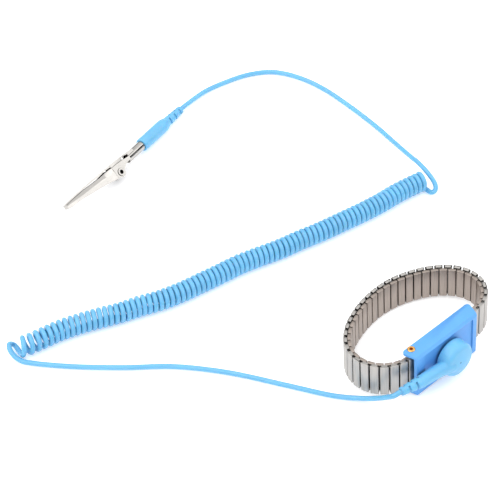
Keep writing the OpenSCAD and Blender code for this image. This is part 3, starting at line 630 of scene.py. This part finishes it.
COIL_LEAD, COIL_START = 1.6, 270  # where the coil starts on its middle line, and at what angle
OPEN_EXTRA, OPEN_TURNS = 3.6, 2.5  # the first turns are drawn apart by this, over so many turns
COIL_RINGS_PER_TURN = 16
COIL_ENDS = 2.0  # length of the coil's straight ends
ROUTE_STEPS = 6  # curve points for each step of a route


def smooth_route(points, per_step):
    """Catmull-Rom curve through the points."""
    out = []
    for i in range((len(points) - 1) * per_step + 1):
        k = min(i // per_step, len(points) - 2)
        u = i / per_step - k
        a, b = points[max(k - 1, 0)], points[k]
        c, d = points[k + 1], points[min(k + 2, len(points) - 1)]
        out.append(
            0.5
            * (
                2 * b
                + (c - a) * u
                + (2 * a - 5 * b + 4 * c - d) * u**2
                + (3 * b - a - 3 * c + d) * u**3
            )
        )
    return out


def coil_points(coil_r, coil_z, turns):
    """A left-hand helix round the coil's middle line, in millimetres."""
    middle = smooth_route([Vector((*p, 0)) + LAY for p in COIL_LINE], ROUTE_STEPS)
    reach, small_turn = 3, 5  # millimetres and degrees over which a direction is taken
    lengths = [0.0]
    for a, b in zip(middle, middle[1:]):
        lengths.append(lengths[-1] + (b - a).length)

    def at(s):
        s = min(max(s, 0.0), lengths[-1])
        k = next((i for i in range(len(lengths) - 2) if lengths[i + 1] >= s), len(lengths) - 2)
        return middle[k].lerp(middle[k + 1], (s - lengths[k]) / (lengths[k + 1] - lengths[k]))

    last_phase = 360 * turns
    run = lengths[-1] - COIL_LEAD

    def point(phase):
        turn = phase / 360
        s = COIL_LEAD + OPEN_EXTRA * (1 - math.exp(-turn / OPEN_TURNS))
        s += (run - OPEN_EXTRA) * phase / last_phase
        ahead = (at(s + reach) - at(s - reach)).normalized()
        near = Vector((ahead.y, -ahead.x, 0))
        angle = COIL_START + phase
        return at(s) + coil_r * cosd(angle) * near + Vector((0, 0, coil_z + coil_r * sind(angle)))

    step = 360 / COIL_RINGS_PER_TURN
    body = [point(step * k) for k in range(round(last_phase / step) + 1)]
    into = (point(small_turn) - point(-small_turn)).normalized()
    out = (point(last_phase + small_turn) - point(last_phase - small_turn)).normalized()
    return body, into, out


def cord_centreline(sizes):
    """Points from inside the snap head to inside the plug, and the point where the head ends."""
    cord_d = sizes.cord_d / MM
    coil_r = (sizes.coil_d / MM - cord_d) / 2
    body, into, out = coil_points(coil_r, sizes.coil_d / MM / 2, sizes.coil_turns)
    first, last = body[0] - COIL_ENDS * into, body[-1] + COIL_ENDS * out
    head_exit = STUD_FRAME @ Vector(RELIEF_END) / MM
    head_dir = (head_exit - STUD_FRAME @ Vector(NECK_END) / MM).normalized()
    plug_dir = CLIP_FRAME.to_3x3() @ Vector((1, 0, 0)) / MM
    plug_exit = CLIP_FRAME @ Vector((-HANDLE_LEN - PLUG_RELIEF, 0, 0)) / MM
    lower = [head_exit + cord_d / 2 * head_dir]
    lower += [Vector(p) + LAY for p in LOWER_ROUTE] + [first - cord_d / 2 * into]
    upper = [last + cord_d / 2 * out]
    upper += [Vector(p) + LAY for p in UPPER_ROUTE] + [plug_exit - cord_d * plug_dir]
    points = [head_exit - head_dir, head_exit] + smooth_route(lower, ROUTE_STEPS)
    points += [first] + body + [last] + smooth_route(upper, ROUTE_STEPS)
    return points + [plug_exit, plug_exit + plug_dir], head_exit


CAMERA_PLACE, CAMERA_LENS = (-476.3, -401.0, 727.7), 145
CAMERA_AZIMUTH, CAMERA_ELEVATION = -43, 47


class STRAP_OT_camera(bpy.types.Operator):
    """Place the camera"""

    bl_idname = "strap.camera"
    bl_label = "Camera"

    def execute(self, context):
        camera = bpy.data.cameras.new("camera")
        camera.lens, camera.sensor_width, camera.clip_end = CAMERA_LENS, 36, 20
        obj = bpy.data.objects.new("camera", camera)
        context.scene.collection.objects.link(obj)
        level = Vector((-sind(CAMERA_AZIMUTH), cosd(CAMERA_AZIMUTH), 0))
        ahead = level * cosd(CAMERA_ELEVATION) - Vector((0, 0, sind(CAMERA_ELEVATION)))
        obj.location = (Vector(CAMERA_PLACE) + LAY) * MM
        obj.rotation_euler = ahead.to_track_quat("-Z", "Y").to_euler()
        context.scene.camera = obj
        return {"FINISHED"}


class STRAP_OT_cord(bpy.types.Operator):
    """Lay the cord from the snap head through its coil to the plug"""

    bl_idname = "strap.cord"
    bl_label = "Cord and coil"

    def execute(self, context):
        sizes = context.scene.strap_sizes
        points, head_exit = cord_centreline(sizes)
        curve = bpy.data.curves.new("coiled_cord", "CURVE")
        curve.dimensions = "3D"
        curve.bevel_depth = sizes.cord_d / 2
        curve.bevel_resolution = 4
        curve.use_fill_caps = True
        spline = curve.splines.new("POLY")
        spline.points.add(len(points) - 1)
        for k, p in enumerate(points):
            spline.points[k].co = (*(p * MM), 1)
        spline.use_smooth = True
        cord = new_object("coiled_cord", curve, "jacket")
        on_body(cord, "cord_assembly", "cord_jacket", "cord_lower", "cord_coil", "cord_upper")
        whole = sum((b - a).length for a, b in zip(points, points[1:])) * MM
        context.scene["strap_cord"] = [whole, *(head_exit * MM)]
        return {"FINISHED"}


# --- Housing ---
class STRAP_OT_housing(bpy.types.Operator):
    """Finish the housing with its contact plate, eyelet and hinge pin"""

    bl_idname = "strap.housing"
    bl_label = "Housing"

    def execute(self, context):
        radius = context.scene.strap_sizes.housing_round
        work = cleaned("housing_shell")
        long_edges = [e for e in sharp_edges(work, 20) if e.calc_length() > 3 * MM]
        rounded(work, long_edges, radius, 3)
        mesh = bpy.data.meshes.new("housing_finished")
        work.to_mesh(mesh)
        work.free()
        shade(mesh)
        shell = new_object("housing_finished", mesh, "abs")
        on_body(shell, "housing", "housing_plastic", "housing_shell")
        repaint("contact_plate", "contact")
        repaint("snap_stud", "nickel")
        repaint("stud_eyelet", "nickel")
        repaint("hinge_pin_right", "wire")
        rounded_node("hinge_eyelet_left", "brass")
        return {"FINISHED"}


# --- Expansion band ---
def link_frame(k):
    """Frame of outer cap k: X along the band, Y outward."""
    middle = (VERTICES[k - 1] + VERTICES[k]) / 2
    return (
        BAND_FRAME
        @ Matrix.Translation((middle.x, middle.y, BAND_Z))
        @ Matrix.Rotation(math.radians(HEADINGS[k - 1]), 4, "Z")
    )


def islands_of(work):
    """The separate shells of a mesh, as lists of faces."""
    seen, islands = set(), []
    for start in work.faces:
        if start in seen:
            continue
        island, stack = [], [start]
        seen.add(start)
        while stack:
            face = stack.pop()
            island.append(face)
            for edge in face.edges:
                for other in edge.link_faces:
                    if other not in seen:
                        seen.add(other)
                        stack.append(other)
        islands.append(island)
    return islands


def height_of(island):
    """How tall a shell stands across the band, in millimetres."""
    upright = BAND_FRAME.inverted()
    heights = [(upright @ v.co).z for face in island for v in face.verts]
    return max(heights) - min(heights)


def box_faces(work, low, high, matrix):
    """Adds a box between two corners."""
    made = bmesh.ops.create_cube(work, size=1)["verts"]
    size = [b - a for a, b in zip(low, high)]
    middle = [(a + b) / 2 for a, b in zip(low, high)]
    place = matrix @ Matrix.Translation(middle) @ Matrix.Diagonal((*size, 1))
    bmesh.ops.transform(work, matrix=place, verts=made)


def carved(body, cutter):
    """The mesh of one bmesh solid with another cut out of it."""
    pieces = []
    for name, shape in (("solid", body), ("cutter", cutter)):
        bmesh.ops.recalc_face_normals(shape, faces=shape.faces)
        mesh = bpy.data.meshes.new(name)
        shape.to_mesh(mesh)
        shape.free()
        pieces.append(new_object(name, mesh))
    cut = pieces[0].modifiers.new("cut", "BOOLEAN")
    cut.operation, cut.solver, cut.object = "DIFFERENCE", "EXACT", pieces[1]
    graph = bpy.context.evaluated_depsgraph_get()
    mesh = bpy.data.meshes.new_from_object(pieces[0].evaluated_get(graph))
    for piece in pieces:
        bpy.data.objects.remove(piece, do_unlink=True)
    return mesh


def open_corners(work, k):
    """Opens the four end corners of a link's cap, where its blank is folded from two sides."""
    cap = max(islands_of(work), key=height_of)
    alone = bmesh.new()
    # a dict keeps the corners in one order, which a set would not
    corners = dict.fromkeys(v for face in cap for v in face.verts)
    copies = {v: alone.verts.new(v.co) for v in corners}
    for face in cap:
        alone.faces.new([copies[v] for v in face.verts])
    cutter = bmesh.new()
    for side in (-1, 1):
        xs = sorted((side * (CAP_LEN / 2 - NOTCH_X), side * (CAP_LEN / 2 + 1)))
        for low, high in ((-1, NOTCH_LOW), (BAND_W - NOTCH_HIGH, BAND_W + 1)):
            bottom = (xs[0], LAYER_GAP / 2 - 0.1, low)
            top = (xs[1], LAYER_GAP / 2 + CAP_T - CAP_FACE, high)
            box_faces(cutter, bottom, top, link_frame(k))
    bmesh.ops.delete(work, geom=cap, context="FACES")
    work.from_mesh(carved(alone, cutter))


def band_piece(node, radius, k=None):
    """One link with rounded sheet edges; its caps, plates and wires get their own finish."""
    work = cleaned(node)
    if k:
        open_corners(work, k)
    rounded(work, sharp_edges(work, 40), radius, 2)
    cap_least, plate_least = BAND_W - 0.5, BAND_W - 1.5
    for island in islands_of(work):
        tall = height_of(island)
        finish = 0 if tall > cap_least else 1 if tall > plate_least else 2
        for face in island:
            face.material_index = finish
    mesh = bpy.data.meshes.new(node + "_finished")
    work.to_mesh(mesh)
    work.free()
    shade(mesh)
    obj = new_object(node + "_finished", mesh, "caps", "plates", "wire")
    on_body(obj, body_of(node), "band_steel", node)


class STRAP_OT_band(bpy.types.Operator):
    """Finish the expansion band's links and ends"""

    bl_idname = "strap.band"
    bl_label = "Expansion band"

    def execute(self, context):
        radius = context.scene.strap_sizes.sheet_round
        for k in range(1, LINK_COUNT + 1):
            band_piece(f"band_link_{k:02d}", radius, k)
        band_piece("band_end_left", radius)
        band_piece("band_end_right", radius)
        return {"FINISHED"}


# --- Snap head ---
def disc_part(work, r, low, high, middle, matrix):
    """Adds a slice of a round bar that covers a little over half of its circle."""
    sweep, steps = 205, 16
    turns = [middle + sweep * (k / steps - 0.5) for k in range(steps + 1)]
    rows = []
    for z in (low, high):
        rim = [(r * cosd(a), r * sind(a), z) for a in turns]
        rows.append([work.verts.new(matrix @ Vector(p)) for p in rim])
    work.faces.new(rows[0][::-1])
    work.faces.new(rows[1])
    for k in range(steps + 1):
        n = (k + 1) % (steps + 1)
        work.faces.new((rows[0][k], rows[0][n], rows[1][n], rows[1][k]))


def relief_shells(work, base, a, b, ends_d):
    """A tapered strain relief with slots cut in turn from its two sides as it lies."""
    place = along(a, b)
    size = (Vector(b) - Vector(a)).length
    step = size / (RELIEF_SLOTS + 1)
    half, over = SLOT_W / 2, 0.1
    turn = (base @ place).to_3x3()
    axis = turn @ Vector((0, 0, 1))
    side = turn.inverted() @ axis.cross(Vector((0, 0, 1)))
    first = math.degrees(math.atan2(side.y, side.x))

    def radius(z):
        return (ends_d[0] + (ends_d[1] - ends_d[0]) * z / size) / 2

    turned(work, [(0, 0), (RELIEF_CORE_R, 0), (RELIEF_CORE_R, size), (0, size)], 32, place)
    cuts = [step * k + end for k in range(1, RELIEF_SLOTS + 1) for end in (-half, half)]
    edges = [0, *cuts, size]
    for low, high in zip(edges[::2], edges[1::2]):
        turned(
            work,
            [
                (0, low),
                (radius(low) - SLOT_SOFT, low),
                (radius(low), low + SLOT_SOFT),
                (radius(high), high - SLOT_SOFT),
                (radius(high) - SLOT_SOFT, high),
                (0, high),
            ],
            48,
            place,
        )
    for k in range(1, RELIEF_SLOTS + 1):
        z = step * k
        opposite = first + (180 if k % 2 else 0)
        disc_part(work, radius(z) - 0.03, z - half - over, z + half + over, opposite, place)


class STRAP_OT_snap(bpy.types.Operator):
    """Make the moulded snap head and finish the parts inside it"""

    bl_idname = "strap.snap"
    bl_label = "Snap head"

    def execute(self, context):
        work = bmesh.new()
        top = HEAD_BASE + HEAD_RIM + DOME_H
        flat = HEAD_D / 2 - HEAD_SOFT
        shoulder = [
            (flat + HEAD_SOFT * cosd(9 * k), top - CROWN_H - SHOULDER_H * (1 - sind(9 * k)))
            for k in range(10)
        ]
        dome = [(flat * k / 10, top - CROWN_H * (k / 10) ** 2) for k in range(10, 0, -1)]
        rings = turned(
            work,
            [
                (HEAD_HOLLOW_R, HEAD_BASE + HEAD_HOLLOW_H),
                (HEAD_HOLLOW_R, HEAD_BASE),
                (HEAD_D / 2 - 0.3, HEAD_BASE),
                (HEAD_D / 2, HEAD_BASE + 0.3),
                *shoulder,
                *dome,
                (0, top),
            ],
            96,
        )
        work.faces.new(rings[0])
        neck_start, neck_end = Vector(NECK_START), Vector(NECK_END)
        steps, sides = 12, 32
        turns = [360 * j / sides for j in range(sides)]
        rings = []
        for k in range(steps + 1):
            t = k / steps
            sag = Vector((0, 0, -NECK_SAG * math.sin(math.pi * t)))
            centre = neck_start.lerp(neck_end, t) + sag
            wide, high = (big + (small - big) * t for big, small in zip(NECK_BIG, NECK_SMALL))
            rim = [centre + Vector((0, wide * cosd(a), high * sind(a))) for a in turns]
            rings.append([work.verts.new(p) for p in rim])
        for a, b in zip(rings, rings[1:]):
            for j in range(sides):
                n = (j + 1) % sides
                work.faces.new((a[j], a[n], b[n], b[j]))
        work.faces.new(rings[0][::-1])
        work.faces.new(rings[-1])
        bmesh.ops.recalc_face_normals(work, faces=work.faces)
        head = mesh_from("snap_head_moulding", work, STUD_FRAME, "pvc")
        remeshed(head, HEAD_VOXEL, 5)
        gate = bmesh.new()
        where = STUD_FRAME @ Matrix.Translation((GATE_X, GATE_Y, top))
        dimple = [(0, -GATE_DEEP), (GATE_R, -GATE_DEEP), (GATE_R + 0.15, 0.5), (0, 0.5)]
        turned(gate, dimple, 24, where)
        moulded = bmesh.new()
        moulded.from_mesh(head.data)
        head.data = carved(moulded, gate)
        head.data.materials.clear()
        head.data.materials.append(material("pvc"))
        shade(head.data)
        on_body(head, "cord_assembly", "moulded_cord_plastic", "snap_head")
        work = bmesh.new()
        start = neck_end.lerp(Vector(RELIEF_END), -0.06)
        relief_shells(work, STUD_FRAME, start, RELIEF_END, HEAD_RELIEF_D)
        bmesh.ops.recalc_face_normals(work, faces=work.faces)
        relief = mesh_from("snap_strain_relief", work, STUD_FRAME, "pvc")
        remeshed(relief, RELIEF_VOXEL, 2)
        on_body(relief, "cord_assembly", "moulded_cord_plastic")
        repaint("snap_socket", "nickel")
        repaint("socket_spring", "wire")
        repaint("resistor", "enamel")
        repaint("resistor_leads", "wire")
        return {"FINISHED"}


# --- Plug and clip ---
class STRAP_OT_plug(bpy.types.Operator):
    """Make the moulded plug handle and finish the pin inside the clip"""

    bl_idname = "strap.plug"
    bl_label = "Banana plug"

    def execute(self, context):
        backward = CLIP_FRAME @ Matrix.Rotation(math.radians(-90), 4, "Y")
        r, shoulder = HANDLE_D / 2, HANDLE_LEN - PLUG_SHOULDER
        work = bmesh.new()
        turned(
            work,
            [
                (0, 0),
                (r - 0.55, 0),
                (r - 0.2, 0.1),
                (r, 0.4),
                (r, 1.6),
                (r, shoulder),
                (r - 0.1, shoulder + 0.8),
                (r - 0.45, HANDLE_LEN - 1.2),
                (r - 0.75, HANDLE_LEN - 0.4),
                (r - 1.2, HANDLE_LEN),
                (0, HANDLE_LEN),
            ],
            96,
        )
        bmesh.ops.recalc_face_normals(work, faces=work.faces)
        handle = mesh_from("plug_handle_moulding", work, backward, "pvc")
        shade(handle.data, 40)
        on_body(handle, "cord_assembly", "moulded_cord_plastic", "plug_handle")
        work = bmesh.new()
        ends = (0, 0, HANDLE_LEN - 0.6), (0, 0, HANDLE_LEN + PLUG_RELIEF)
        relief_shells(work, backward, *ends, PLUG_RELIEF_D)
        bmesh.ops.recalc_face_normals(work, faces=work.faces)
        relief = mesh_from("plug_strain_relief", work, backward, "pvc")
        remeshed(relief, RELIEF_VOXEL, 2)
        on_body(relief, "cord_assembly", "moulded_cord_plastic")
        repaint("banana_pin", "nickel")
        repaint("banana_spring", "nickel")
        return {"FINISHED"}


class STRAP_OT_clip(bpy.types.Operator):
    """Finish the crocodile clip"""

    bl_idname = "strap.clip"
    bl_label = "Crocodile clip"

    def execute(self, context):
        for node in ("clip_barrel_jaw", "clip_upper_jaw", "clip_pivot"):
            rounded_node(node, "nickel", smooth=14)
        repaint("clip_spring", "wire")
        return {"FINISHED"}


# --- Stage ---
LIT_POINT = (0, 0.08, 0)
FILL_SHARE = 0.35  # the fill light's power as a share of the key light's


def soft_light(name, size, power, place):
    light = bpy.data.lights.new(name, "AREA")
    light.shape, light.size, light.size_y = "RECTANGLE", size[0], size[1]
    light.energy = power
    obj = bpy.data.objects.new(name, light)
    bpy.context.scene.collection.objects.link(obj)
    obj.location = place
    obj.rotation_euler = (Vector(LIT_POINT) - Vector(place)).to_track_quat("-Z", "Y").to_euler()


class STRAP_OT_stage(bpy.types.Operator):
    """Lay the floor and hang the lights"""

    bl_idname = "strap.stage"
    bl_label = "Stage"

    def execute(self, context):
        work = bmesh.new()
        bmesh.ops.create_grid(work, x_segments=1, y_segments=1, size=4)
        floor = mesh_from("studio_floor", work, Matrix.Translation((0, 0, -0.0001)), "paper")
        power = context.scene.strap_studio.key_power
        soft_light("key_light", (2.4, 1.9), power, (-1.1, 0.5, 1.7))
        soft_light("fill_light", (1.4, 1.4), power * FILL_SHARE, (1.4, -0.9, 1.3))
        world = bpy.data.worlds.new("studio_room")
        context.scene.world = world
        world.use_nodes = True
        tree = world.node_tree
        tree.nodes.clear()
        where = add(tree, "ShaderNodeTexCoord")
        parts = add(tree, "ShaderNodeSeparateXYZ", links={"Vector": (where, "Generated")})
        dim, bright = (rgba(hex_colour(text)) for text in ("4A4C50", "FFFFFF"))
        stops = (0.05, dim), (0.7, bright)
        sky = add(tree, "ShaderNodeValToRGB", links={"Fac": (parts, "Z")}, stops=stops)
        light = add(tree, "ShaderNodeBackground", {"Strength": 1.3}, {"Color": (sky, 0)})
        add(tree, "ShaderNodeOutputWorld", links={"Surface": (light, 0)})
        context.scene.view_settings.view_transform = "Standard"
        return {"FINISHED"}


GROUPS = (
    (StrapSizes, "strap_sizes"),
    (StrapColours, "strap_colours"),
    (StrapStudio, "strap_studio"),
)
PARTS = (
    STRAP_OT_camera,
    STRAP_OT_cord,
    STRAP_OT_housing,
    STRAP_OT_band,
    STRAP_OT_snap,
    STRAP_OT_plug,
    STRAP_OT_clip,
    STRAP_OT_stage,
)


class STRAP_PT_panel(bpy.types.Panel):
    bl_idname = "STRAP_PT_panel"
    bl_label = "Antistatic wrist strap"
    bl_space_type = "VIEW_3D"
    bl_region_type = "UI"
    bl_category = "Strap"

    def draw(self, context):
        layout = self.layout
        for group, name in GROUPS:
            settings = getattr(context.scene, name)
            box = layout.box()
            for field in group.__annotations__:
                box.prop(settings, field)
        for part in PARTS:
            layout.operator(part.bl_idname)


def register():
    for group, name in GROUPS:
        bpy.utils.register_class(group)
        setattr(bpy.types.Scene, name, PointerProperty(type=group))
    for part in (*PARTS, STRAP_PT_panel):
        bpy.utils.register_class(part)


def unregister():
    for part in (STRAP_PT_panel, *reversed(PARTS)):
        bpy.utils.unregister_class(part)
    for group, name in reversed(GROUPS):
        delattr(bpy.types.Scene, name)
        bpy.utils.unregister_class(group)


def main():
    register()
    for part in PARTS:
        family, name = part.bl_idname.split(".")
        getattr(getattr(bpy.ops, family), name)()


if __name__ == "__main__":
    main()
